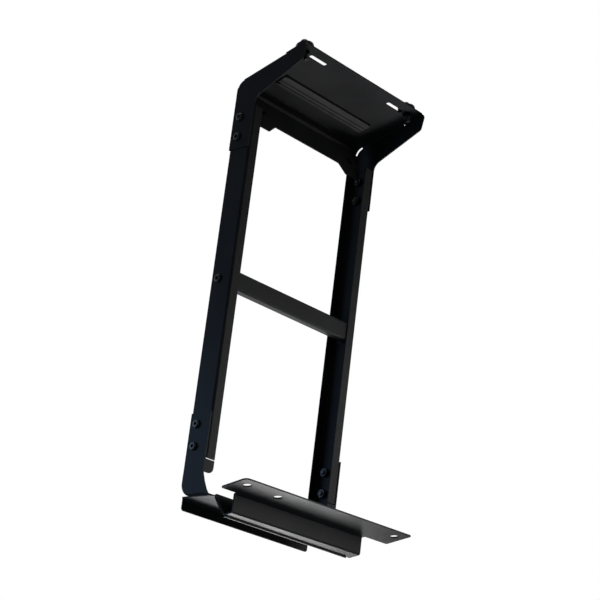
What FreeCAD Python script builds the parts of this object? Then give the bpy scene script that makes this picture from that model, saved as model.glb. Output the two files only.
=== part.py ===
import FreeCAD, Part
import math
import os

V = FreeCAD.Vector

# Vehicle ladder, millimetres. +X is to the right seen from the vehicle, -Y points at the vehicle,
# +Z is up. The origin is the middle of the slot row, on the upper face of the mounting plate,
# where the plate bolts up against the roof rack. The stiles lean towards the vehicle at the top,
# so stiles, rung, step and lower brackets are drawn in a ladder frame: z along the stiles from
# the rung bolts, y = 0 on the face of the stiles that looks at the vehicle.

# Whole ladder
lean = 15.3                 # degrees, stiles against the vertical
outer_width = 300.0         # across the outer faces of the two stiles
sheet = 2.0                 # every folded sheet
bend_in = 2.0               # inside radius of a fold
plate_above_rung = 347.5    # rung bolts to the mounting face, square to the mounting face
slots_ahead_of_rung = 177.0 # front of the stiles at the rung bolts to the slot row, along -Y

# Stiles: folded channels, web outside
stile_depth = 45.0
stile_flange = 19.0
stile_under_knee = 34.3     # upper end, below the knee centre of the arms
stile_over_step = 58.7      # lower end, above the tread of the step
bolt_line = 27.7            # bolts of a stile, from its front face
bolt_pitch = 35.5           # the two bolts of a bracket
top_pair_in = 35.5          # middle of the upper pair, from the end of the stile
low_pair_in = 36.7          # middle of the lower pair, from the end of the stile

# Cross bolts, M8 with button heads
bolt_d = 8.0
hole_clearance = 1.0
head_d = 14.0
head_h = 4.4
nut_af = 13.0
nut_h = 6.5
thread_out = 3.0

# Corner bolts: down through a clamp disc, the lip of the rack's channel and the plate
clamp_lip = 7.2             # room for the lip, between plate and disc
clamp_d = 30.0
clamp_t = 4.0
cap_d = 13.0
cap_h = 9.5
corner_bolt_length = 28.5

# Rung
rung_top = 14.5
rung_face = 31.0
rung_lip = 15.0
rung_back = 18.0
rung_tab = 30.0
rung_tab_ahead = 8.0        # lower part of the tab starts this far behind its upper part
rung_tab_corner = 6.0
fit_gap = 0.3               # sheet edge to sheet edge, where one part drops between two others

# Side arms: outside the stiles, reaching forward to the mounting plate
arm_lap = 74.0              # arm outside the stile, below the stile's upper end
arm_back_edge = 44.0
flange_under_knee = 39.3    # lower end of the back flange, below the knee centre
arm_back_face = 46.5
arm_flange = 16.0
knee_radius = 20.0
knee_slit = 1.8             # between the web's rounded corner and the strip that goes over the knee
knee_slit_from = 29.0       # degrees above the horizontal, to straight up
knee_strip_in = 3.5         # outer side of that strip, inside the web's outer face
pan_ahead = 10.0            # pressed region of the arm, front end at the stile
pan_under = 12.0            # and below the mounting face at the nose
arm_flange_end = 21.5
arm_nose_top = -21.0
arm_nose_tip = -22.2
arm_nose_low = -11.5
nose_tip_drop = 9.0
nose_low_drop = 30.0
nose_corner = 6.0
nose_top_corner = 3.0
nose_tip_corner = 4.0
arm_pan_in = 6.0            # the flat web is lapped this far into the pressed region
arm_pan_up = 20.0
inner_knee_under = 22.2     # corner under the nose at the stile's front face, below the knee centre
inner_knee_r = 18.0
nose_hole_ahead = 60.5      # small hole, ahead of the stile and above the knee centre
nose_hole_over = 41.8
nose_hole_d = 4.0

# Mounting plate and its riser
plate_front = -20.1
riser_front = 116.5
slot_length = 39.5
slot_width = 7.0
slot_in = 32.5              # middle of a slot, inboard of the corner bolt
corner_bolt_in = 19.5       # corner bolt, in from the outer face of the stile
corner_bolt_y = -1.5
riser_drop = 63.5
riser_tab_drop = 79.0
riser_tab_w = 34.0
riser_tab_slope = 16.5      # sideways run of the slanted edge, from tab to straight edge
riser_in = 20.0             # end of the riser, in from the outer face of the stile
bead_middle = -18.0
bead_height = 11.0
bead_out = 3.0
riser_shoulder = 8.0        # as wide as the plate down to here, then narrowed at 45 degrees
fold_overlap = 10.0         # flat of the folded middle that lies in the plate
plate_corner = 4.0

# Ribbed strip under the plate
strip_length = 215.0
strip_width = 24.4
strip_t = 2.3
strip_front = 62.0
strip_band = 11.0            # flat front band, ahead of the first groove
rib_pitch = 7.4
rib_gap = 1.6

# Lower brackets
step_below_rung = 353.0     # tread of the step, below the rung bolts
ear_lap = 72.3              # ear outside the stile, above the stile's lower end
ear_back = 45.7
ear_relief = 43.0
ear_back_drop = 23.7        # upper end of the back flange, below the stile
ear_corner = 21.0
ear_flange = 20.0
ear_toe = ((-17.7, 0.0), (-11.6, 8.6), (-5.1, 21.5), (-0.3, 34.3))  # y and rise of the front edge
ear_tab_h = 20.7
ear_pan = ((8.0, 20.0), (20.0, 4.0))  # the flat web is lapped this far into the pressed back and bottom
ear_tab_corner = 10.0
tab_gap = 1.5               # tab to the end of the stile

# Step
step_front = -27.5
step_back = 46.7
step_skirt = 19.4
skirt_in = 6.5              # end of the skirt, in from the end of the tread
skirt_corner = 5.0
tread_trim = 12.0           # ends of the tread are shaped this far in from its front and back
tread_front_chamfer = 8.0
tread_back_chamfer = 6.5
apron_rise = 1.6            # the apron stands this far above the tread
apron_drop = 22.3
apron_in = 7.7              # upper corner of the apron, in from the end of the tread
apron_slant = 20.0          # and its lower corner, in from the upper one
apron_lip = 6.0

# Lower mounting bracket
mount_sheet = 2.5
mount_bend_in = 1.0
bracket_tilt = 10.0         # degrees, its flanges against the step
bracket_skew = 1.0          # degrees, web and top flange against the rung
foot_left = -123.2
foot_right = 166.5
foot_middle_depth = 20.0    # depth of the foot at the middle of the ladder
foot_lip = 2.3              # lip under the back edge of the foot
foot_lip_right = 156.0
web_height = 25.8
flange_left = -158.5
flange_right = 220.0
flange_depth = 59.0
flange_notch = 6.0          # the ends of the flange start this far ahead of the web
flange_corner_left = 8.0
flange_corner = 3.0
flange_hole_d = 14.2
flange_holes = ((-137.1, 19.2), (-67.3, 23.0), (199.6, 19.7))  # along the flange, in from its front edge


# Drawing helpers

def box(x0, x1, y0, y1, z0, z1):
    return Part.makeBox(x1 - x0, y1 - y0, z1 - z0, V(x0, y0, z0))


def cylinder(p, axis, r, length):
    return Part.makeCylinder(r, length, p, axis)


def mirrored(shape):
    return shape.mirror(V(0, 0, 0), V(1, 0, 0))


def round_straight(shape, r, axis, **near):
    """Fillet the straight edges parallel to axis whose middles match the given coordinates."""
    picked = []
    for e in shape.Edges:
        if e.Curve.TypeId != "Part::GeomLine":
            continue
        d = e.Curve.Direction
        if abs(abs(d.dot(axis)) - 1) > 1e-6:
            continue
        m = e.CenterOfMass
        if all(abs(getattr(m, k) - v) < 1e-3 for k, v in near.items()):
            picked.append(e)
    return shape.makeFillet(r, picked)


def outline(points, radii, lift):
    """Closed wire through (a, b) points lifted into space, corners rounded by the radii given per point."""
    pts = [lift(a, b) for a, b in points]
    n = len(pts)
    radii = radii or {}
    edges, ends = [], []
    for i in range(n):
        r = radii.get(i, 0)
        p, before, after = pts[i], pts[i - 1], pts[(i + 1) % n]
        if not r:
            ends.append((p, p, None))
            continue
        u = (before - p).normalize()
        w = (after - p).normalize()
        half_turn = math.acos(max(-1, min(1, u.dot(w)))) / 2
        run = r / math.tan(half_turn)
        middle = (u + w).normalize()
        centre = p + middle * (r / math.sin(half_turn))
        ends.append((p + u * run, p + w * run, centre - middle * r))
    for i in range(n):
        start, stop, mid = ends[i]
        if mid is not None:
            edges.append(Part.Arc(start, mid, stop).toShape())
        nxt = ends[(i + 1) % n][0]
        if (nxt - stop).Length > 1e-6:
            edges.append(Part.makeLine(stop, nxt))
    return Part.Wire(edges)


def plate_yz(points, x0, x1, radii=None):
    """Flat sheet between x0 and x1, drawn in y and z."""
    face = Part.Face(outline(points, radii, lambda a, b: V(x0, a, b)))
    return face.extrude(V(x1 - x0, 0, 0))


def plate_xy(points, z0, z1, radii=None):
    face = Part.Face(outline(points, radii, lambda a, b: V(a, b, z0)))
    return face.extrude(V(0, 0, z1 - z0))


def plate_xz(points, y0, y1, radii=None):
    face = Part.Face(outline(points, radii, lambda a, b: V(a, y0, b)))
    return face.extrude(V(0, y1 - y0, 0))


def with_mirror(points):
    """The points, and then their mirror images in reverse order."""
    return points + [(-a, b) for a, b in reversed(points)]


def to_model(shape):
    """From the ladder frame to the frame of the whole part."""
    out = shape.copy()
    out.rotate(V(0, 0, 0), V(1, 0, 0), lean)
    out.translate(V(0, slots_ahead_of_rung, -plate_above_rung))
    return out


def ladder_yz(y, z):
    """Model (y, z) of a point given in the ladder frame."""
    c, s = math.cos(math.radians(lean)), math.sin(math.radians(lean))
    return (y * c - z * s + slots_ahead_of_rung, y * s + z * c - plate_above_rung)


def knee_centre():
    """Ladder frame centre of the knee arc, tangent to the back flange and to the top flange."""
    c, s = math.cos(math.radians(lean)), math.sin(math.radians(lean))
    y = arm_back_face - knee_radius
    return y, (plate_above_rung - knee_radius - s * y) / c


half = outer_width / 2
inside = half - sheet
step_half = half - fit_gap
skirt_half = step_half - skirt_in
apron_top_half = step_half - apron_in
apron_low_half = apron_top_half - apron_slant
corner_bolt_x = half - corner_bolt_in
slot_x = corner_bolt_x - slot_in
plate_half = half + sheet - arm_flange - fit_gap
riser_half = half - riser_in
riser_narrow = riser_shoulder + plate_half - riser_half
riser_tab_start = riser_half - riser_tab_w
riser_straight = riser_tab_start - riser_tab_slope
hole_r = (bolt_d + hole_clearance) / 2
knee_z = knee_centre()[1]
stile_top = knee_z - stile_under_knee
arm_bottom = stile_top - arm_lap
arm_flange_start = knee_z - flange_under_knee
inner_knee_z = knee_z - inner_knee_under
ear_bottom = -step_below_rung
stile_bottom = ear_bottom + stile_over_step
ear_top = stile_bottom + ear_lap
ear_back_start = stile_bottom - ear_back_drop
pair_top = (stile_top - top_pair_in + bolt_pitch / 2, stile_top - top_pair_in - bolt_pitch / 2)
pair_low = (stile_bottom + low_pair_in + bolt_pitch / 2, stile_bottom + low_pair_in - bolt_pitch / 2)


def cross_holes(levels):
    """Bolt holes through the webs, along x, in the ladder frame."""
    cuts = [cylinder(V(-half - 20, bolt_line, z), V(1, 0, 0), hole_r, 2 * half + 40) for z in levels]
    return cuts[0].multiFuse(cuts[1:]) if len(cuts) > 1 else cuts[0]


# Stiles

def stile():
    outer = box(-half, -half + stile_flange, 0, stile_depth, stile_bottom, stile_top)
    outer = round_straight(outer, bend_in + sheet, V(0, 0, 1), x=-half)
    inner = box(-inside, -half + stile_flange + 1, sheet, stile_depth - sheet,
                stile_bottom - 1, stile_top + 1)
    inner = round_straight(inner, bend_in, V(0, 0, 1), x=-inside)
    return outer.cut(inner).cut(cross_holes(pair_top + (0.0,) + pair_low))


# Rung

def rung():
    """Tread between the stile flanges, with a tall front face, a lip under it and a short back."""
    w = inside
    y0, y1 = sheet, stile_depth - sheet
    top, low = rung_top, rung_top - rung_face
    r_out, r_in = bend_in + sheet, bend_in
    section = [(y0, top), (y1, top), (y1, top - rung_back), (y1 - sheet, top - rung_back),
               (y1 - sheet, top - sheet), (y0 + sheet, top - sheet), (y0 + sheet, low + sheet),
               (y0 + rung_lip, low + sheet), (y0 + rung_lip, low), (y0, low)]
    radii = {0: r_out, 1: r_out, 4: r_in, 5: r_in, 6: r_in, 9: r_out}
    body = plate_yz(section, -w, w, radii)
    tab_y0, tab_y1 = y0 + sheet + bend_in, y1 - sheet - bend_in
    tabs = []
    for side in (-1, 1):
        a, b = sorted((side * w, side * (w - sheet)))
        tab = plate_yz([(tab_y0, top - sheet), (tab_y1, top - sheet), (tab_y1, top - rung_tab),
                        (tab_y0 + rung_tab_ahead, top - rung_tab), (tab_y0 + rung_tab_ahead, low + sheet + 1),
                        (tab_y0, low + sheet + 1)], a, b, {2: rung_tab_corner, 3: rung_tab_corner})
        tabs.append(tab)
    return body.multiFuse(tabs).cut(cross_holes((0.0,))).removeSplitter()


# Side arms, drawn straight in the frame of the whole part

def knee_points(r):
    """Start, middle and end of an arc about the knee centre, from the back face to the top face."""
    y, z = knee_centre()
    cy, cz = ladder_yz(y, z)
    a0 = math.radians(lean)
    a1 = math.radians(90)
    am = (a0 + a1) / 2
    return [(cy + r * math.cos(a), cz + r * math.sin(a)) for a in (a0, am, a1)]


def wire_yz(parts):
    """Closed wire of lines and arcs, each part a list of 2 or 3 (y, z) points, as a face at x = 0."""
    edges = []
    for p in parts:
        q = [V(0, a, b) for a, b in p]
        edges.append(Part.makeLine(q[0], q[1]) if len(q) == 2 else Part.Arc(*q).toShape())
    return Part.Face(Part.Wire(edges))


def back_run(r_in):
    """Lower end of the back flange at a depth under its outer face, and the arc ends there."""
    d = knee_radius - r_in
    foot = ladder_yz(arm_back_face - d, arm_flange_start)
    return foot, knee_points(r_in)


def arm_block(depth, x0, x1):
    """Solid behind the knee contour, offset inwards by depth."""
    foot, arc = back_run(knee_radius - depth)
    top_end = (arm_flange_end, -depth)
    inner = [(arm_flange_end, -pan_under), ladder_yz(pan_ahead, inner_knee_z),
             ladder_yz(pan_ahead, arm_flange_start)]
    lines = [[arc[2], top_end], [top_end, inner[0]], inner[:2], inner[1:], [inner[2], foot]]
    face = wire_yz([[foot, arc[0]], arc] + lines)
    solid = face.extrude(V(x1 - x0, 0, 0))
    solid.translate(V(x0, 0, 0))
    return solid


def arm():
    """Left arm: web, back flange, top flange and the slit that lets them turn the knee."""
    x_out, x_in = -half - sheet, -half
    reach = x_out + arm_flange
    contour = [(arm_nose_top, -sheet), (arm_nose_tip, -nose_tip_drop), (arm_nose_low, -nose_low_drop),
               ladder_yz(0, inner_knee_z), ladder_yz(0, arm_bottom), ladder_yz(arm_back_edge, arm_bottom),
               ladder_yz(arm_back_edge, arm_flange_start),
               ladder_yz(arm_back_edge - arm_pan_in, arm_flange_start + arm_pan_up),
               (arm_flange_end + 1, -sheet)]
    corners = {0: nose_top_corner, 1: nose_tip_corner, 2: nose_corner, 3: inner_knee_r}
    web = plate_yz(contour, x_out, x_in, corners)
    pan = fold_edges(arm_block(0.0, x_out, reach), bend_in + sheet, x_out)
    pan = pan.cut(fold_edges(arm_block(sheet, x_in, reach + 1), bend_in, x_in))
    nose = cylinder(V(x_out - 1, nose_hole_y, nose_hole_z), V(1, 0, 0), nose_hole_d / 2, sheet + 2)
    full = web.fuse(pan).removeSplitter()
    return full.cut(knee_slot(x_out)).cut(to_model(cross_holes(pair_top))).cut(nose)


nose_hole_y, nose_hole_z = ladder_yz(-nose_hole_ahead, knee_z + nose_hole_over)


def fold_edges(shape, r, x):
    """Fillet the contour edges of a pan at its web side."""
    picked = []
    for e in shape.Edges:
        b = e.BoundBox
        if b.XMax - b.XMin > 1e-6 or abs(b.XMin - x) > 1e-3:
            continue
        m = e.valueAt((e.FirstParameter + e.LastParameter) / 2)
        on_top = abs(m.z) < sheet + 0.01 and m.y > arm_flange_end and e.Curve.TypeId == "Part::GeomLine"
        on_arc = e.Curve.TypeId == "Part::GeomCircle"
        if on_top or on_arc:
            picked.append(e)
            continue
        low = FreeCAD.Vector(0, *ladder_yz(arm_back_face, arm_flange_start))
        c, s = math.cos(math.radians(lean)), math.sin(math.radians(lean))
        off = abs((m.y - low.y) * c + (m.z - low.z) * s)
        if off < sheet + 0.01 and m.y > arm_flange_end:
            picked.append(e)
    return shape.makeFillet(r, picked)


def knee_slot(x_out):
    """Web and fold cut away along the knee, so that only the strip inside them turns over it."""
    y, z = knee_centre()
    cy, cz = ladder_yz(y, z)
    axis = V(1, 0, 0)
    far = 2 * knee_radius
    r_strip = knee_radius - sheet
    r_web = r_strip - knee_slit
    fold = cylinder(V(x_out - 1, cy, cz), axis, knee_radius + 1, knee_strip_in + 1)
    fold = fold.cut(cylinder(V(x_out - 2, cy, cz), axis, r_web, knee_strip_in + 4))
    a = math.radians(knee_slit_from)
    sector = [(cy, cz), (cy + far * math.cos(a), cz + far * math.sin(a)),
              (cy + far, cz + far), (cy, cz + far)]
    return fold.common(plate_yz(sector, x_out - 2, x_out + knee_strip_in + 1))


# Mounting plate

def top_plate():
    """Flat plate let in between the arm flanges, front ears on the bare arm edges, riser folded down."""
    t = sheet
    wide, back = half + t, riser_front + t
    behind = arm_flange_end - fit_gap
    start, fold_low = behind - fold_overlap, -riser_shoulder
    section = [(start, 0), (back, 0), (back, fold_low),
               (riser_front, fold_low), (riser_front, -t), (start, -t)]
    folded = plate_yz(section, -plate_half, plate_half, {1: bend_in + t, 4: bend_in})
    flat = plate_xy([(-wide, plate_front), (wide, plate_front), (wide, behind), (-wide, behind)], -t, 0,
                    {0: plate_corner, 1: plate_corner})
    side = [(-plate_half, -t - bend_in), (-plate_half, -riser_shoulder), (-riser_half, -riser_narrow),
            (-riser_half, -riser_tab_drop), (-riser_tab_start, -riser_tab_drop),
            (-riser_straight, -riser_drop)]
    riser = plate_xz(with_mirror(side), riser_front, back, {i: plate_corner for i in range(3, 9)})
    body = flat.multiFuse([folded, riser, bead()]).cut(bead_hollow()).removeSplitter()
    cuts = []
    for sx in (-1, 1):
        cuts.append(slot(sx * slot_x, 0, slot_length, slot_width))
        cuts.append(cylinder(V(sx * corner_bolt_x, corner_bolt_y, -t - 1), V(0, 0, 1), hole_r, t + 2))
    return body.cut(cuts[0].multiFuse(cuts[1:]))


def bead_arc(out, height, x_end):
    """Half lens along the riser, standing out ahead of it."""
    m = bead_middle
    high, low = V(0, riser_front, m + height / 2), V(0, riser_front, m - height / 2)
    arc = Part.Arc(high, V(0, riser_front - out, m), low).toShape()
    line = Part.makeLine(low, high)
    solid = Part.Face(Part.Wire([arc, line])).extrude(V(2 * x_end, 0, 0))
    solid.translate(V(-x_end, 0, 0))
    return solid


def bead():
    return bead_arc(bead_out, bead_height, riser_half)


def bead_hollow():
    """The same swell pressed in from behind."""
    hollow = bead_arc(bead_out, bead_height, riser_half + 1)
    hollow.translate(V(0, sheet, 0))
    return hollow


def slot(x, y, length, width):
    r = width / 2
    run = length - width
    bar = box(x - run / 2, x + run / 2, y - r, y + r, -sheet - 1, 1)
    ends = [cylinder(V(x + s * run / 2, y, -sheet - 1), V(0, 0, 1), r, sheet + 2) for s in (-1, 1)]
    return bar.multiFuse(ends)


def ribbed_strip():
    """Strip under the plate: a flat front band and two grooves behind it."""
    low = -sheet - strip_t
    strip = box(-strip_length / 2, strip_length / 2, strip_front, strip_front + strip_width, low, -sheet)
    for i in range(2):
        y = strip_front + strip_band + i * rib_pitch
        strip = strip.cut(box(-strip_length, strip_length, y, y + rib_gap, low - 1, low + 1.2))
    return strip


# Lower brackets

def ear():
    """Left lower bracket: web outside the stile, front tab, and a flange round its back and bottom."""
    x_out, x_in = -half - sheet, -half
    reach = x_out + ear_flange
    front_low = ear_toe[0][0]
    tab_top = stile_bottom - tab_gap
    tab_low = tab_top - ear_tab_h
    front = [(y, ear_bottom + rise) for y, rise in ear_toe] + [(0, tab_low)]
    lap_back, lap_low = ear_pan
    behind = [(0, ear_top), (ear_relief, ear_top), (ear_relief, ear_back_start),
              (ear_relief - lap_back[0], ear_bottom + lap_back[1]),
              (front_low + lap_low[0], ear_bottom + lap_low[1])]
    web = plate_yz(behind + front, x_out, x_in)
    pan = ear_folds(ear_block(0.0, x_out, reach), bend_in + sheet, x_out)
    pan = pan.cut(ear_folds(ear_block(sheet, x_in, reach + 1), bend_in, x_in))
    past = ear_back + 1
    keep = plate_yz(front + [(0, ear_back_start), (past, ear_back_start), (past, ear_bottom - 1),
                             (front_low, ear_bottom - 1)], x_out - 1, reach + 1)
    tab = plate_xz([(x_out, tab_low), (-half + stile_flange, tab_low), (-half + stile_flange, tab_top),
                    (x_out, tab_top)], 0, sheet, {1: ear_tab_corner})
    full = web.multiFuse([pan.common(keep), tab]).removeSplitter()
    return full.cut(cross_holes(pair_low))


def ear_block(depth, x0, x1):
    y, z = ear_back - ear_corner, ear_bottom + ear_corner
    r = ear_corner - depth
    a = [(y + r, z), (y + r * math.cos(math.radians(45)), z - r * math.sin(math.radians(45))), (y, z - r)]
    top = (ear_back - depth, ear_back_start + 5)
    front = (ear_toe[0][0] - 5, ear_bottom + depth)
    front_top = (front[0], top[1])
    face = wire_yz([[top, a[0]], a, [a[2], front], [front, front_top], [front_top, top]])
    solid = face.extrude(V(x1 - x0, 0, 0))
    solid.translate(V(x0, 0, 0))
    return solid


def ear_folds(shape, r, x):
    picked = []
    for e in shape.Edges:
        b = e.BoundBox
        if b.XMax - b.XMin > 1e-6 or abs(b.XMin - x) > 1e-3:
            continue
        m = e.valueAt((e.FirstParameter + e.LastParameter) / 2)
        on_back, on_bottom = abs(m.y - ear_back) < sheet + 0.01, abs(m.z - ear_bottom) < sheet + 0.01
        if e.Curve.TypeId == "Part::GeomCircle" or on_back or on_bottom:
            picked.append(e)
    return shape.makeFillet(r, picked)


# Step

def step():
    """Tread under the bracket flanges, skirt down the climber's side, apron down the vehicle side."""
    top, low = ear_bottom, ear_bottom - sheet
    skirt_low, apron_low = top - step_skirt, low - apron_drop
    crest, under = top + apron_rise, sheet / 4
    section = [(step_front, crest), (step_front + sheet, crest), (step_front + sheet, top), (step_back, top),
               (step_back, skirt_low), (step_back - sheet, skirt_low), (step_back - sheet, low),
               (step_front + sheet, low), (step_front + sheet, apron_low), (step_front, apron_low)]
    profile = plate_yz(section, -step_half, step_half, {3: bend_in + sheet, 6: bend_in})
    sides = [(-step_half, crest), (-step_half, low - under), (-skirt_half, low - under),
             (-skirt_half, skirt_low)]
    behind = plate_xz(with_mirror(sides), step_back - tread_trim, step_back + 1,
                      {3: skirt_corner, 4: skirt_corner})
    slanted = [(-step_half, crest), (-step_half, low - under), (-apron_top_half, low - under),
               (-apron_low_half, apron_low)]
    ahead = plate_xz(with_mirror(slanted), step_front - 1, step_front + tread_trim)
    middle = box(-step_half, step_half, step_front + tread_trim, step_back - tread_trim, low - 1, crest)
    corners = [(-skirt_half, step_back), (-step_half, step_back - tread_back_chamfer),
               (-step_half, step_front + tread_front_chamfer), (-apron_top_half, step_front)]
    plan = plate_xy(with_mirror(corners), apron_low - 1, crest)
    body = profile.common(behind.multiFuse([ahead, middle])).common(plan)
    return body.multiFuse([apron_lip_piece(s) for s in (-1, 1)]).removeSplitter()


def apron_lip_piece(side):
    """Narrow return along a slanted end of the apron."""
    low = ear_bottom - sheet
    a = V(side * apron_top_half, 0, low)
    b = V(side * apron_low_half, 0, low - apron_drop)
    run = (b - a).normalize()
    inward = V(run.z, 0, -run.x) * side
    pts = [a, b, b + inward * sheet, a + inward * sheet]
    return plate_xz([(p.x, p.z) for p in pts], step_front + 1, step_front + apron_lip)


# Lower mounting bracket

def bracket():
    """Foot strip against the apron, upright web, top flange out to the vehicle with three holes."""
    t = mount_sheet
    tilt, skew = math.radians(bracket_tilt), math.radians(bracket_skew)
    st, ct = math.sin(tilt), math.cos(tilt)
    fwd, up = V(0, -ct, st), V(0, st, ct)
    along = V(math.cos(skew), 0, 0) + fwd * math.sin(skew)
    ahead = V(-math.sin(skew), 0, 0) + fwd * math.cos(skew)
    back_edge = V(0, step_front - fit_gap, ear_bottom - sheet - apron_drop)
    origin = back_edge + fwd * foot_middle_depth

    def at(u, w, h):
        """Point along the web, ahead of its lower end and above the foot."""
        return origin + along * u + ahead * w + up * h

    rise, run = web_height * ct, web_height * st
    behind = -2 * foot_middle_depth
    notch, front = run + flange_notch, run + flange_depth
    section = [(behind, -t), (-t * st / ct, -t), (run, rise), (front, rise), (front, rise + t),
               (((rise + t) * st - t) / ct, rise + t), (-t / ct, 0), (behind, 0)]
    folds = {1: mount_bend_in + t, 2: mount_bend_in, 5: mount_bend_in + t, 6: mount_bend_in}
    folded = Part.Face(outline(section, folds, lambda w, h: at(flange_left, w, h)))
    folded = folded.extrude(along * (flange_right - flange_left))
    plan = [(foot_left, behind), (foot_right, behind), (foot_right, notch), (flange_right, notch),
            (flange_right, front), (flange_left, front), (flange_left, notch), (foot_left, notch)]
    corners = {i: flange_corner for i in (2, 3, 4, 6, 7)}
    corners[5] = flange_corner_left
    below = -2 * t
    trim = Part.Face(outline(plan, corners, lambda u, w: at(u, w, below))).extrude(up * (rise + 4 * t))
    body = folded.common(trim)
    body = body.cut(box(flange_left, flange_right, back_edge.y, 0, back_edge.z - 4 * t, back_edge.z + rise))
    lip_low = back_edge.z - t - foot_lip
    lip = box(foot_left, foot_lip_right, back_edge.y - t, back_edge.y, lip_low, back_edge.z - t / 2)
    body = body.fuse(lip).removeSplitter()
    for u, inset in flange_holes:
        body = body.cut(cylinder(at(u, front - inset, rise - t), up, flange_hole_d / 2, 3 * t))
    return body


# Fasteners

def bolt_and_nut(p, axis, grip):
    """Button head on the near side, hex nut on the far side; p is the face under the head."""
    head = cylinder(p, axis * -1, head_d / 2, head_h)
    bolt = head.fuse(cylinder(p, axis, bolt_d / 2, grip + nut_h + thread_out)).removeSplitter()
    nut = hexagon(p + axis * grip, axis, nut_af, nut_h).cut(cylinder(p, axis, bolt_d / 2, grip + nut_h + 1))
    return bolt, nut


def hexagon(p, axis, across, height):
    side = axis.cross(V(0, 0, 1)) if abs(axis.z) < 0.9 else axis.cross(V(0, 1, 0))
    side.normalize()
    other = axis.cross(side)
    r = across / 2 / math.cos(math.radians(30))
    turns = [math.radians(60 * i) for i in range(6)]
    pts = [p + side * (r * math.cos(a)) + other * (r * math.sin(a)) for a in turns]
    return Part.Face(Part.makePolygon(pts + pts[:1])).extrude(axis * height)


def side_fasteners():
    """Ten cross bolts in the stiles: heads outside, nuts inside the channels."""
    rows = [("upper_arm", pair_top[0], half + sheet), ("lower_arm", pair_top[1], half + sheet),
            ("rung", 0.0, half),
            ("upper_bracket", pair_low[0], half + sheet), ("lower_bracket", pair_low[1], half + sheet)]
    out = {}
    for name, z, face in rows:
        bolt, nut = bolt_and_nut(V(-face, bolt_line, z), V(1, 0, 0), 2 * sheet)
        for side, f in (("left", lambda s: s), ("right", mirrored)):
            out[side + "_" + name + "_bolt"] = to_model(f(bolt))
            out[side + "_" + name + "_nut"] = to_model(f(nut))
    return out


def corner_fasteners():
    """Cap screws down through the plate corners, each with a clamp disc above and a nut below."""
    up = V(0, 0, 1)
    seat = V(-corner_bolt_x, corner_bolt_y, clamp_lip + clamp_t)
    shank = cylinder(seat, up * -1, bolt_d / 2, corner_bolt_length)
    bolt = cylinder(seat, up, cap_d / 2, cap_h).fuse(shank).removeSplitter()
    disc = cylinder(seat, up * -1, clamp_d / 2, clamp_t).cut(cylinder(seat, up * -1, hole_r, clamp_t + 1))
    nut = hexagon(V(seat.x, seat.y, -sheet), up * -1, nut_af, nut_h).cut(shank)
    out = {}
    for side, f in (("left", lambda s: s), ("right", mirrored)):
        out[side + "_corner_bolt"] = f(bolt)
        out[side + "_corner_clamp"] = f(disc)
        out[side + "_corner_nut"] = f(nut)
    return out


def build():
    left_stile, left_arm, left_ear = stile(), arm(), ear()
    nodes = {
        "left_stile": to_model(left_stile), "right_stile": to_model(mirrored(left_stile)),
        "left_arm": left_arm, "right_arm": mirrored(left_arm),
        "left_lower_bracket": to_model(left_ear), "right_lower_bracket": to_model(mirrored(left_ear)),
        "rung": to_model(rung()), "top_plate": top_plate(), "ribbed_strip": ribbed_strip(),
        "step": to_model(step()), "lower_mount": to_model(bracket()),
    }
    nodes.update(side_fasteners())
    nodes.update(corner_fasteners())
    return nodes


os.makedirs("parts", exist_ok=True)
for name, shape in build().items():
    if shape.ShapeType == "Compound" and len(shape.Solids) == 1:
        shape = shape.Solids[0]
    print(name, shape.ShapeType, len(shape.Solids), shape.isValid(), round(shape.Volume, 1))
    shape.exportStep("parts/" + name + ".step")
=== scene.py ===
import math

import bmesh
import bpy
from mathutils import Matrix, Vector

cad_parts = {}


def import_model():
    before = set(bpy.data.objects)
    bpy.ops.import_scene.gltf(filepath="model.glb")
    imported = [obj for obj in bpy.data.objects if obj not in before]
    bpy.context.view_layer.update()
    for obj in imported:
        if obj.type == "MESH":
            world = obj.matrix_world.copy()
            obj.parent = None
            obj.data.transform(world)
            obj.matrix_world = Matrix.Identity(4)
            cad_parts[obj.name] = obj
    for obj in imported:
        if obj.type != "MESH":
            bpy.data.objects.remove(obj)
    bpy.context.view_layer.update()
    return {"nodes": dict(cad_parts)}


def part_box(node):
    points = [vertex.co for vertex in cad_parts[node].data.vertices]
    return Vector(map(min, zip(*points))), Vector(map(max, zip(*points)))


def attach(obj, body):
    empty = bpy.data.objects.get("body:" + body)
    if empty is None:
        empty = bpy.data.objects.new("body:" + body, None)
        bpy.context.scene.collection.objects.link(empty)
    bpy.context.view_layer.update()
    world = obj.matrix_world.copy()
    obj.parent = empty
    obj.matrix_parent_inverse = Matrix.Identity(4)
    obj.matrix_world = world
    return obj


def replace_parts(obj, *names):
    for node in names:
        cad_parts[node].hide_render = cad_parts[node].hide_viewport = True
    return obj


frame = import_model()

# Lengths in metres, angles in degrees. The ladder hangs by its plate: +Z up, -Y to the vehicle.
MM = 0.001

# Folded sheet
SHEET = 2.0 * MM
LEAN = 15.3                      # stiles against the vertical
EDGE_ROUND = 0.35 * MM           # softened edges of the sheet
EDGE_STEPS = 2
EDGE_ANGLE = 40.0                # softened where faces meet at more than this
SHEET_NODES = ["left_stile", "right_stile", "left_arm", "right_arm", "top_plate", "rung",
               "left_lower_bracket", "right_lower_bracket", "step", "lower_mount"]

# Ribbed strip: its flat front band and the grooves behind it
STRIP_BAND = 11.0 * MM
GROOVES = 2
RIB_PITCH = 7.4 * MM
RIB_GAP = 1.6 * MM
RIB_DEPTH = 1.2 * MM
FRONT_SHADE_WIDTH = 2.8 * MM                  # painted shade line along the strip's front edge
SHADE_THICKNESS = 0.3 * MM                 # thickness of the painted shade lines
# wider painted shade dots at the left end of the front line and of the last groove
SHADE_DOT_LENGTH = 6.5 * MM
SHADE_DOT_WIDTH = 5.0 * MM
BAR_STEPS = 10                   # steps round the end of a painted shade line
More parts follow.
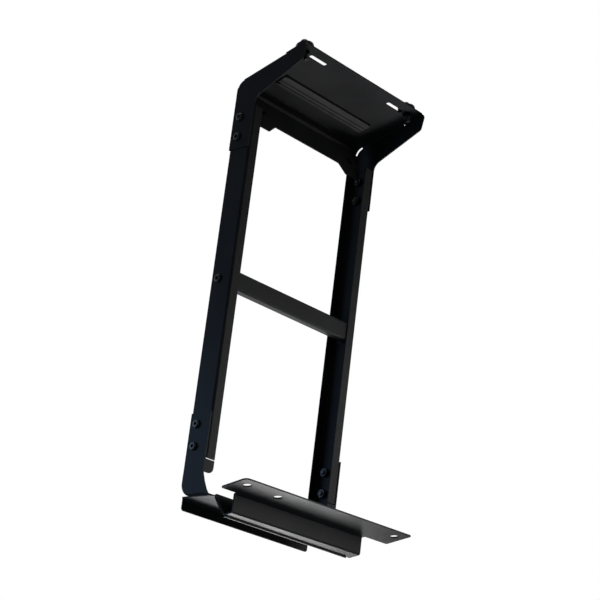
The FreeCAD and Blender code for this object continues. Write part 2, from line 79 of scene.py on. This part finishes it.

# Rivet nuts in the riser
RIVET_X = 109.0 * MM
RIVET_Z = -48.0 * MM
RIVET_R = 5.5 * MM
RIVET_BORE = 3.3 * MM
RIVET_H = 0.9 * MM
BORE_SHADE_LOW = 0.05 * MM            # the painted shade in the bore reaches from here
BORE_SHADE_HIGH = 0.72 * RIVET_H      # up to here, over the riser's face

# Bolts: shank and thread
SHANK_R = 4.0 * MM
THREAD_PITCH = 1.25 * MM
THREAD_DEPTH = 0.55 * MM
THREAD_STEPS = 8                 # rings in one turn of the thread
TIP_CHAMFER = 0.8 * MM
TIP_RISE = 0.6 * MM              # from the tip to the first thread
CROSS_ROWS = ["upper_arm", "lower_arm", "rung", "upper_bracket", "lower_bracket"]

# Button heads of the cross bolts
BUTTON_R = 7.0 * MM
BUTTON_TOP_R = 4.4 * MM
BUTTON_H = 4.4 * MM
BUTTON_EASE = 0.2 * MM
BUTTON_RIM = 0.5 * MM
BUTTON_THREAD = 9.0 * MM         # threaded end of the shank
BUTTON_RUNOUT = 0.2 * MM
DOME_STEPS = 8

# Knurled heads of the corner bolts
CAP_EASE = 0.5 * MM
CAP_TOP_EASE = 0.7 * MM
CAP_THREAD = 20.0 * MM
CAP_RUNOUT = 0.3 * MM
KNURLS = 24
KNURL_DEPTH = 0.12 * MM
KNURL_FROM = 0.7 * MM            # knurl starts this far above the seat
KNURL_TO = 1.4 * MM              # and ends this far below the top
SMOOTH_FROM = 1.1 * MM           # smooth rim, measured down from the top
SMOOTH_IN = 0.1 * MM             # and how far inside the head's radius it lies
CAP_SOCKET = 0.5                 # depth of the socket as a share of the head

# Hexagon sockets
KEY_BUTTON = 5.0 * MM            # hexagon key, across flats
KEY_CAP = 6.0 * MM
SOCKET_DEPTH = 2.6 * MM
SOCKET_MOUTH = 0.62              # radius of the mouth as a share of the key
SOCKET_CHAMFER = 0.35 * MM

# Nuts and clamp discs
NUT_AF = 13.0 * MM
NUT_CHAMFER = 0.7 * MM
NUT_CHAMFER_H = 0.42 * MM
NUT_EASE = 0.1 * MM
NUT_SINK_IN = 0.5 * MM           # countersink of the thread, wider than the shank by this
NUT_SINK = 0.8 * MM              # and this deep
DISC_BORE = SHANK_R + 0.5 * MM
DISC_EASE = 0.3 * MM
DISC_SINK = 0.6 * MM

# How far each fastener is turned about its own axis
BOLT_TURN = 17.0
BOLT_TURN_ROW = 23.0
BOLT_TURN_SIDE = 9.0
NUT_TURN_ROW = 11.0
CAP_TURN = 12.0
CORNER_NUT_TURN = 20.0

ROUND = 48                       # steps round a turned piece
SHARP_ANGLE = 32.0               # a turned piece shades smoothly below this

# Colours, the darker and the lighter one of each finish
COAT = ((0.0066, 0.0067, 0.0069), (0.0088, 0.0089, 0.0092))
RUBBER = ((0.009, 0.009, 0.009), (0.014, 0.014, 0.014))
# near-black painted shade for the strip's edge line, its grooves and the rivet bores
PAINTED_SHADE = ((0.0008, 0.0008, 0.0008), (0.0020, 0.0020, 0.0020))
ZINC = ((0.003, 0.003, 0.0032), (0.010, 0.010, 0.0105))

# Camera of the photograph: low on the vehicle's side, looking up
CAMERA_AT = (-1.9889, -1.4715, -1.7835)
CAMERA_AIM = (-0.0187, 0.150, -0.3550)
CAMERA_ROLL = 5.33
SENSOR = 36.0
LENS = 109.18

# Studio
FLOOR_Z = -2.05
FLOOR_HALF = 12.0
FLOOR_GREY = 0.80
FLOOR_LIFT = 0.8
WHITE = (1, 1, 1)
SKY = (0.11, 0.12, 0.15)
COOL = (0.40, 0.63, 1.0)


# Node helpers

def new_material(name):
    mat = bpy.data.materials.new(name)
    mat.use_nodes = True
    tree = mat.node_tree
    shader = tree.nodes["Principled BSDF"]
    coords = tree.nodes.new("ShaderNodeTexCoord")
    return mat, tree, shader, coords.outputs["Object"]


def noise(tree, coords, scale, detail, roughness):
    n = tree.nodes.new("ShaderNodeTexNoise")
    n.inputs["Scale"].default_value = scale
    n.inputs["Detail"].default_value = detail
    n.inputs["Roughness"].default_value = roughness
    tree.links.new(coords, n.inputs["Vector"])
    return n.outputs["Fac"]


def remap(tree, value, span, to=(0.0, 1.0)):
    """The span of a value stretched to another one, cut off at its ends."""
    m = tree.nodes.new("ShaderNodeMapRange")
    m.inputs["From Min"].default_value, m.inputs["From Max"].default_value = span
    m.inputs["To Min"].default_value, m.inputs["To Max"].default_value = to
    tree.links.new(value, m.inputs["Value"])
    return m.outputs["Result"]


def blend_colour(tree, factor, colours):
    first, second = colours
    m = tree.nodes.new("ShaderNodeMix")
    m.data_type = "RGBA"
    m.inputs["A"].default_value = (*first, 1)
    m.inputs["B"].default_value = (*second, 1)
    tree.links.new(factor, m.inputs["Factor"])
    return m.outputs["Result"]


def bump(tree, height, distance, strength, under=None):
    b = tree.nodes.new("ShaderNodeBump")
    b.inputs["Distance"].default_value = distance
    b.inputs["Strength"].default_value = strength
    tree.links.new(height, b.inputs["Height"])
    if under is not None:
        tree.links.new(under, b.inputs["Normal"])
    return b.outputs["Normal"]


# Materials

def powder_coat():
    """Black powder coat: fine grain over a soft orange peel, a little uneven in gloss."""
    mat, tree, shader, coords = new_material("black_powder_coat")
    grain = noise(tree, coords, scale=1400.0, detail=2.0, roughness=0.6)
    peel = noise(tree, coords, scale=320.0, detail=2.0, roughness=0.45)
    cloud = noise(tree, coords, scale=14.0, detail=4.0, roughness=0.55)
    colour = blend_colour(tree, remap(tree, cloud, span=(0.3, 0.7)), COAT)
    gloss = remap(tree, cloud, span=(0.25, 0.75), to=(0.34, 0.44))
    grained = bump(tree, grain, distance=0.06 * MM, strength=0.45)
    normal = bump(tree, peel, distance=0.10 * MM, strength=0.35, under=grained)
    tree.links.new(colour, shader.inputs["Base Color"])
    tree.links.new(gloss, shader.inputs["Roughness"])
    tree.links.new(normal, shader.inputs["Normal"])
    shader.inputs["Specular IOR Level"].default_value = 0.011
    return mat


def rubber():
    """Matt black rubber with a dusty bloom."""
    mat, tree, shader, coords = new_material("black_rubber")
    cloud = noise(tree, coords, scale=60.0, detail=5.0, roughness=0.6)
    grain = noise(tree, coords, scale=2200.0, detail=2.0, roughness=0.6)
    colour = blend_colour(tree, remap(tree, cloud, span=(0.35, 0.75)), RUBBER)
    gloss = remap(tree, cloud, span=(0.3, 0.7), to=(0.42, 0.56))
    tree.links.new(colour, shader.inputs["Base Color"])
    tree.links.new(gloss, shader.inputs["Roughness"])
    tree.links.new(bump(tree, grain, distance=0.05 * MM, strength=0.5), shader.inputs["Normal"])
    shader.inputs["Specular IOR Level"].default_value = 0.04
    return mat


def painted_shade_black():
    """Near-black, dull and nearly without gloss: painted shade for the strip's edge line and grooves and
    for the rivet bores.
    """
    mat, tree, shader, coords = new_material("painted_shade_black")
    grain = noise(tree, coords, scale=1800.0, detail=3.0, roughness=0.6)
    tree.links.new(blend_colour(tree, grain, PAINTED_SHADE), shader.inputs["Base Color"])
    tree.links.new(bump(tree, grain, distance=0.04 * MM, strength=0.4), shader.inputs["Normal"])
    shader.inputs["Roughness"].default_value = 0.9
    shader.inputs["Specular IOR Level"].default_value = 0.01
    return mat


def dark_zinc():
    """Black-plated steel in a cloudy mix of two tones, finely grained."""
    mat, tree, shader, coords = new_material("dark_zinc_steel")
    cloud = noise(tree, coords, scale=420.0, detail=4.0, roughness=0.6)
    fine = noise(tree, coords, scale=5200.0, detail=2.0, roughness=0.5)
    colour = blend_colour(tree, remap(tree, cloud, span=(0.35, 0.7)), ZINC)
    gloss = remap(tree, fine, span=(0.3, 0.7), to=(0.20, 0.32))
    tree.links.new(colour, shader.inputs["Base Color"])
    tree.links.new(gloss, shader.inputs["Roughness"])
    tree.links.new(bump(tree, fine, distance=0.02 * MM, strength=0.4), shader.inputs["Normal"])
    shader.inputs["Metallic"].default_value = 1.0
    return mat


# Turned pieces

def circle_ring(r):
    return lambda a: r


def circles(*rings):
    """Round rings from pairs of radius and height."""
    return [(circle_ring(r), z) for r, z in rings]


def hex_ring(across, limit=math.inf):
    """Hexagon of this width across its flats, its corners cut at the limit radius."""
    def radius(a):
        turn = (a + math.pi / 6) % (math.pi / 3) - math.pi / 6
        return min(across / 2 / math.cos(turn), limit)
    return radius


def turned(rings):
    """Closed mesh from rings of (radius function, height), joined in order and capped at both ends."""
    bm = bmesh.new()
    loops = []
    for radius, z in rings:
        loop = []
        for i in range(ROUND):
            a = 2 * math.pi * i / ROUND
            r = radius(a)
            loop.append(bm.verts.new((r * math.cos(a), r * math.sin(a), z)))
        loops.append(loop)
    for lower, upper in zip(loops, loops[1:]):
        for i in range(ROUND):
            j = (i + 1) % ROUND
            bm.faces.new((lower[i], lower[j], upper[j], upper[i]))
    bm.faces.new(list(reversed(loops[0])))
    bm.faces.new(loops[-1])
    bmesh.ops.recalc_face_normals(bm, faces=bm.faces)
    return bm


def thread_rings(z_low, z_high):
    """Helical thread between two heights, as rings whose radius follows height and angle."""
    count = int((z_high - z_low) / THREAD_PITCH * THREAD_STEPS)
    rings = []
    for k in range(count + 1):
        z = z_low + (z_high - z_low) * k / count

        def radius(a, z=z):
            phase = (z / THREAD_PITCH - a / (2 * math.pi)) % 1.0
            return SHANK_R - THREAD_DEPTH * abs(2 * phase - 1)
        rings.append((radius, z))
    return rings


def shank_rings(length, threaded, runout):
    """Shank from its tip at -length up to z = 0, threaded at the tip."""
    tip = circles((SHANK_R - TIP_CHAMFER, -length))
    thread = thread_rings(-length + TIP_RISE, -length + threaded)
    plain = circles((SHANK_R, -length + threaded + runout), (SHANK_R, 0))
    return tip + thread + plain


def socket_rings(top, across, depth):
    mouth = circles((across * SOCKET_MOUTH, top))
    return mouth + [(hex_ring(across), top - SOCKET_CHAMFER), (hex_ring(across), top - depth)]


def button_bolt(length):
    """Button head standing on z = 0, shank below it."""
    rings = shank_rings(length, BUTTON_THREAD, BUTTON_RUNOUT)
    rings += circles((BUTTON_R - BUTTON_EASE, 0), (BUTTON_R, BUTTON_EASE), (BUTTON_R, BUTTON_RIM))
    for k in range(1, DOME_STEPS + 1):
        a = math.pi / 2 * k / DOME_STEPS
        r = BUTTON_TOP_R + (BUTTON_R - BUTTON_TOP_R) * math.cos(a)
        rings += circles((r, BUTTON_RIM + (BUTTON_H - BUTTON_RIM) * math.sin(a)))
    return turned(rings + socket_rings(BUTTON_H, KEY_BUTTON, SOCKET_DEPTH))


def cap_bolt(length, radius, height):
    """Socket cap screw: tall knurled head on z = 0, shank below it."""
    def knurl(a):
        return radius - KNURL_DEPTH * (0.5 + 0.5 * math.cos(KNURLS * a))
    rings = shank_rings(length, CAP_THREAD, CAP_RUNOUT)
    rings += circles((radius - CAP_EASE, 0), (radius - SMOOTH_IN, CAP_EASE))
    rings += [(knurl, KNURL_FROM), (knurl, height - KNURL_TO)]
    rings += circles((radius - SMOOTH_IN, height - SMOOTH_FROM), (radius - CAP_TOP_EASE, height))
    return turned(rings + socket_rings(height, KEY_CAP, height * CAP_SOCKET))


def hex_nut(height):
    """Hex nut on z = 0, chamfered corners and a countersunk thread at both ends."""
    corner = NUT_AF / 2 / math.cos(math.pi / 6)
    end = hex_ring(NUT_AF, corner - NUT_CHAMFER)
    full = hex_ring(NUT_AF, corner - NUT_EASE)
    mouth = SHANK_R + NUT_SINK_IN
    rings = circles((SHANK_R, NUT_SINK), (mouth, 0))
    rings += [(end, 0), (full, NUT_CHAMFER_H), (full, height - NUT_CHAMFER_H), (end, height)]
    rings += circles((mouth, height), (SHANK_R, height - NUT_SINK))
    return turned(rings)


def disc(radius, bore, height):
    """Flat disc on z = 0 with eased edges, its bore sunk in from both faces."""
    sink = min(DISC_SINK, height / 3)
    lower = circles((bore, sink), (bore + DISC_EASE, 0), (radius - DISC_EASE, 0), (radius, DISC_EASE))
    upper = circles((radius, height - DISC_EASE), (radius - DISC_EASE, height),
                    (bore + DISC_EASE, height), (bore, height - sink))
    return turned(lower + upper)


def rounded_bar(length, width, thickness):
    """Flat bar along x with half-round ends, lying on z = 0."""
    bm = bmesh.new()
    r = width / 2
    run = length / 2 - r
    outline = []
    for end in (1, -1):
        for k in range(BAR_STEPS + 1):
            a = -math.pi / 2 + math.pi * k / BAR_STEPS
            outline.append((end * (run + r * math.cos(a)), end * r * math.sin(a)))
    low = [bm.verts.new((x, y, 0)) for x, y in outline]
    high = [bm.verts.new((x, y, thickness)) for x, y in outline]
    bm.faces.new(list(reversed(low)))
    bm.faces.new(high)
    for i in range(len(low)):
        j = (i + 1) % len(low)
        bm.faces.new((low[i], low[j], high[j], high[i]))
    return bm


def add_piece(name, bm, matrix, material):
    mesh = bpy.data.meshes.new(name)
    bmesh.ops.transform(bm, matrix=matrix, verts=bm.verts)
    bmesh.ops.recalc_face_normals(bm, faces=bm.faces)
    bm.to_mesh(mesh)
    bm.free()
    mesh.materials.append(material)
    piece = bpy.data.objects.new(name, mesh)
    bpy.context.scene.collection.objects.link(piece)
    mesh.polygons.foreach_set("use_smooth", [True] * len(mesh.polygons))
    mesh.set_sharp_from_angle(angle=math.radians(SHARP_ANGLE))
    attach(piece, "root")
    return piece


def place(name, bm, matrix, material, node):
    """One turned piece in the place of a CAD node."""
    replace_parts(add_piece(name, bm, matrix, material), node)


def along(axis, at, twist=0.0):
    """Matrix that stands a turned piece's z on an axis, turned about it by twist degrees."""
    stand = Vector((0, 0, 1)).rotation_difference(Vector(axis)).to_matrix().to_4x4()
    return Matrix.Translation(at) @ stand @ Matrix.Rotation(math.radians(twist), 4, "Z")


# Fasteners

def cross_fasteners(material):
    """Bolts with their heads outside the stiles and nuts inside, each where its CAD node is."""
    for side, out in (("left", -1), ("right", 1)):
        for k, row in enumerate(CROSS_ROWS):
            name = side + "_" + row
            bolt, nut = name + "_bolt", name + "_nut"
            lo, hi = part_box(bolt)
            nut_lo, nut_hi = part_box(nut)
            mid_y, mid_z = (lo.y + hi.y) / 2, (lo.z + hi.z) / 2
            outer, tip = (lo.x, hi.x) if out < 0 else (hi.x, lo.x)
            seat = outer - out * BUTTON_H
            turn = BOLT_TURN + BOLT_TURN_ROW * k + BOLT_TURN_SIDE * out
            stand = along((out, 0, 0), (seat, mid_y, mid_z), turn)
            place("bolt_" + name, button_bolt(abs(tip - seat)), stand, material, bolt)
            nut_seat = nut_lo.x if out < 0 else nut_hi.x
            stand = along((-out, 0, 0), (nut_seat, mid_y, mid_z), LEAN + NUT_TURN_ROW * k)
            place("nut_" + name, hex_nut(nut_hi.x - nut_lo.x), stand, material, nut)


def corner_fasteners(material):
    """Cap screws with their clamp discs above the plate and nuts under it."""
    for side in ("left", "right"):
        lo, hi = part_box(side + "_corner_bolt")
        disc_lo, disc_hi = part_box(side + "_corner_clamp")
        nut_lo, nut_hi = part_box(side + "_corner_nut")
        x, y = (lo.x + hi.x) / 2, (lo.y + hi.y) / 2
        seat = disc_hi.z
        bolt = cap_bolt(seat - lo.z, (hi.x - lo.x) / 2, hi.z - seat)
        stand = along((0, 0, 1), (x, y, seat), CAP_TURN)
        place("corner_bolt_" + side, bolt, stand, material, side + "_corner_bolt")
        clamp = disc((disc_hi.x - disc_lo.x) / 2, DISC_BORE, disc_hi.z - disc_lo.z)
        stand = along((0, 0, 1), (x, y, disc_lo.z))
        place("corner_disc_" + side, clamp, stand, material, side + "_corner_clamp")
        nut = hex_nut(nut_hi.z - nut_lo.z)
        stand = along((0, 0, -1), (x, y, nut_hi.z), CORNER_NUT_TURN)
        place("corner_nut_" + side, nut, stand, material, side + "_corner_nut")


def riser_rivets(metal, dark):
    """Rivet nuts in the riser, seen from the vehicle's side as a flat ring round a near-black cylinder
    painted in as the shade of the bore.
    """
    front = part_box("top_plate")[1].y - SHEET
    for side, x in (("left", -RIVET_X), ("right", RIVET_X)):
        stand = along((0, -1, 0), (x, front, RIVET_Z))
        add_piece("rivet_" + side, disc(RIVET_R, RIVET_BORE, RIVET_H), stand, metal)
        # near-black cylinder in the bore: painted shade of the hole
        mouth = turned(circles((RIVET_BORE, BORE_SHADE_LOW), (RIVET_BORE, BORE_SHADE_HIGH)))
        add_piece("rivet_bore_shade_" + side, mouth, stand, dark)


# Ribbed strip

def strip_painted_shade(material):
    """Painted shade on the ribbed strip: near-black bars along its front edge and in the grooves, two of
    them wider at the left end.
    """
    lo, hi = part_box("ribbed_strip")
    length, mid = hi.x - lo.x - RIB_GAP, (lo.x + hi.x) / 2
    down = Matrix.Rotation(math.pi, 4, "X")
    # near-black bars standing in for the shadow at the strip's front edge and the shade inside its grooves
    lines = [("front", lo.y - FRONT_SHADE_WIDTH / 2 + SHADE_THICKNESS, FRONT_SHADE_WIDTH, lo.z + RIB_DEPTH)]
    for k in range(GROOVES):
        y = lo.y + STRIP_BAND + k * RIB_PITCH + RIB_GAP / 2
        lines.append(("groove_shade_" + str(k), y, RIB_GAP, lo.z + SHADE_THICKNESS))
    for name, y, width, z in lines:
        bar = rounded_bar(length, width, SHADE_THICKNESS)
        at = Matrix.Translation((mid, y, z))
        add_piece("strip_" + name, bar, at @ down, material)
    # near-black dots painted as the shade at the left ends of the front line and the last groove
    for name, y, width, z in (lines[0], lines[-1]):
        shade_dot = rounded_bar(SHADE_DOT_LENGTH, SHADE_DOT_WIDTH, SHADE_THICKNESS)
        at = Matrix.Translation((lo.x + SHADE_DOT_LENGTH / 2, y, lo.z + SHADE_THICKNESS / 2))
        add_piece("strip_shade_dot_" + name, shade_dot, at @ down, material)


# CAD nodes that stay

def dress(node, material):
    """A CAD node in its finish, with softened edges."""
    obj = frame["nodes"][node]
    for slot in obj.material_slots:
        slot.material = material
    if not obj.material_slots:
        obj.data.materials.append(material)
    soften = obj.modifiers.new("soft_edges", "BEVEL")
    soften.width = EDGE_ROUND
    soften.segments = EDGE_STEPS
    soften.limit_method = "ANGLE"
    soften.angle_limit = math.radians(EDGE_ANGLE)
    soften.harden_normals = True


# Surroundings

def sees_background(tree):
    """1 for camera, mirror-like and see-through rays, 0 for the light that falls on the object."""
    path = tree.nodes.new("ShaderNodeLightPath")
    seen = path.outputs["Is Camera Ray"]
    for kind in ("Is Glossy Ray", "Is Transmission Ray"):
        top = tree.nodes.new("ShaderNodeMath")
        top.operation = "MAXIMUM"
        tree.links.new(seen, top.inputs[0])
        tree.links.new(path.outputs[kind], top.inputs[1])
        seen = top.outputs["Value"]
    return seen


def floor_paint():
    """Pale paint, lifted to white for the rays that see the background, so that a shadow still shows."""
    mat = bpy.data.materials.new("floor_paint")
    mat.use_nodes = True
    tree = mat.node_tree
    shader = tree.nodes["Principled BSDF"]
    shader.inputs["Base Color"].default_value = (FLOOR_GREY, FLOOR_GREY, FLOOR_GREY, 1)
    shader.inputs["Roughness"].default_value = 0.9
    shader.inputs["Specular IOR Level"].default_value = 0.0
    shader.inputs["Emission Color"].default_value = (*WHITE, 1)
    lift = remap(tree, sees_background(tree), span=(0.0, 1.0), to=(0.0, FLOOR_LIFT))
    tree.links.new(lift, shader.inputs["Emission Strength"])
    return mat


def floor():
    mesh = bpy.data.meshes.new("floor")
    h = FLOOR_HALF
    corners = [(-h, -h), (h, -h), (h, h), (-h, h)]
    mesh.from_pydata([(x, y, FLOOR_Z) for x, y in corners], [], [(0, 1, 2, 3)])
    obj = bpy.data.objects.new("floor", mesh)
    mesh.materials.append(floor_paint())
    bpy.context.scene.collection.objects.link(obj)


def world():
    """White to the camera and in reflections, a soft plain sky for everything else."""
    w = bpy.data.worlds.new("studio")
    bpy.context.scene.world = w
    w.use_nodes = True
    tree = w.node_tree
    back = tree.nodes["Background"]
    sky = blend_colour(tree, sees_background(tree), (SKY, WHITE))
    tree.links.new(sky, back.inputs["Color"])
    back.inputs["Strength"].default_value = 1.0


def lamp(name, at, aim, size, watts, colour=WHITE, spread=180.0):
    data = bpy.data.lights.new(name, "AREA")
    data.shape = "SQUARE"
    data.size = size
    data.energy = watts
    data.color = colour
    data.spread = math.radians(spread)
    obj = bpy.data.objects.new(name, data)
    obj.location = at
    obj.rotation_mode = "QUATERNION"
    obj.rotation_quaternion = (Vector(aim) - Vector(at)).to_track_quat("-Z", "Y")
    obj.visible_camera = False
    bpy.context.scene.collection.objects.link(obj)


def climber_side_lamps():
    """Soft light on the undersides, on the flanges inside the stiles and on the left outer faces."""
    lamp("low_back", at=(0.50, 0.82, -1.07), aim=(0.04, 0.12, -0.77), size=0.4, watts=4.3, spread=90.0)
    lamp("back_right", at=(1.01, 1.29, -0.62), aim=(0.0, 0.2, -0.4), size=0.6, watts=4.0)
    lamp("under", at=(0.66, 0.11, -0.70), aim=(-0.05, 0.06, -0.01), size=0.25, watts=4.4, spread=100.0)
    lamp("left_blue", at=(-0.72, 0.79, -0.43), aim=(-0.15, 0.3, -0.85), size=0.6, watts=9.5, colour=COOL)


def vehicle_side_lamps():
    """Weak light on the faces turned to the vehicle, and one broad lamp overhead."""
    lamp("front_right", at=(0.74, -0.72, -0.50), aim=(-0.05, 0.22, -0.72), size=0.5, watts=2.1, spread=70.0)
    lamp("low_right", at=(0.60, -0.52, -0.86), aim=(-0.05, 0.12, -0.76), size=0.3, watts=1.3, spread=70.0)
    lamp("high_right", at=(0.62, -0.78, -0.05), aim=(-0.1, 0.15, -0.2), size=0.3, watts=1.2)
    lamp("front_left", at=(-1.7, -1.9, -0.2), aim=(0.0, 0.12, -0.35), size=1.0, watts=2.0)
    lamp("overhead", at=(0.4, -0.3, 2.4), aim=(0.0, 0.1, -0.3), size=1.5, watts=40.0)


def camera():
    data = bpy.data.cameras.new("photo_camera")
    data.sensor_width = SENSOR
    data.lens = LENS
    obj = bpy.data.objects.new("photo_camera", data)
    obj.location = CAMERA_AT
    obj.rotation_mode = "QUATERNION"
    look = (Vector(CAMERA_AIM) - Vector(CAMERA_AT)).to_track_quat("-Z", "Y")
    roll = Matrix.Rotation(math.radians(-CAMERA_ROLL), 3, "Z").to_quaternion()
    obj.rotation_quaternion = look @ roll
    bpy.context.scene.collection.objects.link(obj)
    bpy.context.scene.camera = obj


camera()
# shade_paint is the near-black painted shade put on the strip and in the rivet bores
coat, strip_rubber, shade_paint, plated = powder_coat(), rubber(), painted_shade_black(), dark_zinc()
for name in SHEET_NODES:
    dress(name, coat)
dress("ribbed_strip", strip_rubber)
cross_fasteners(plated)
corner_fasteners(plated)
# painted shade along the strip's front edge and in its grooves
strip_painted_shade(shade_paint)
# the dark inside of each rivet bore is painted shade
riser_rivets(plated, shade_paint)
floor()
world()
climber_side_lamps()
vehicle_side_lamps()
bpy.context.scene.view_settings.view_transform = "Standard"
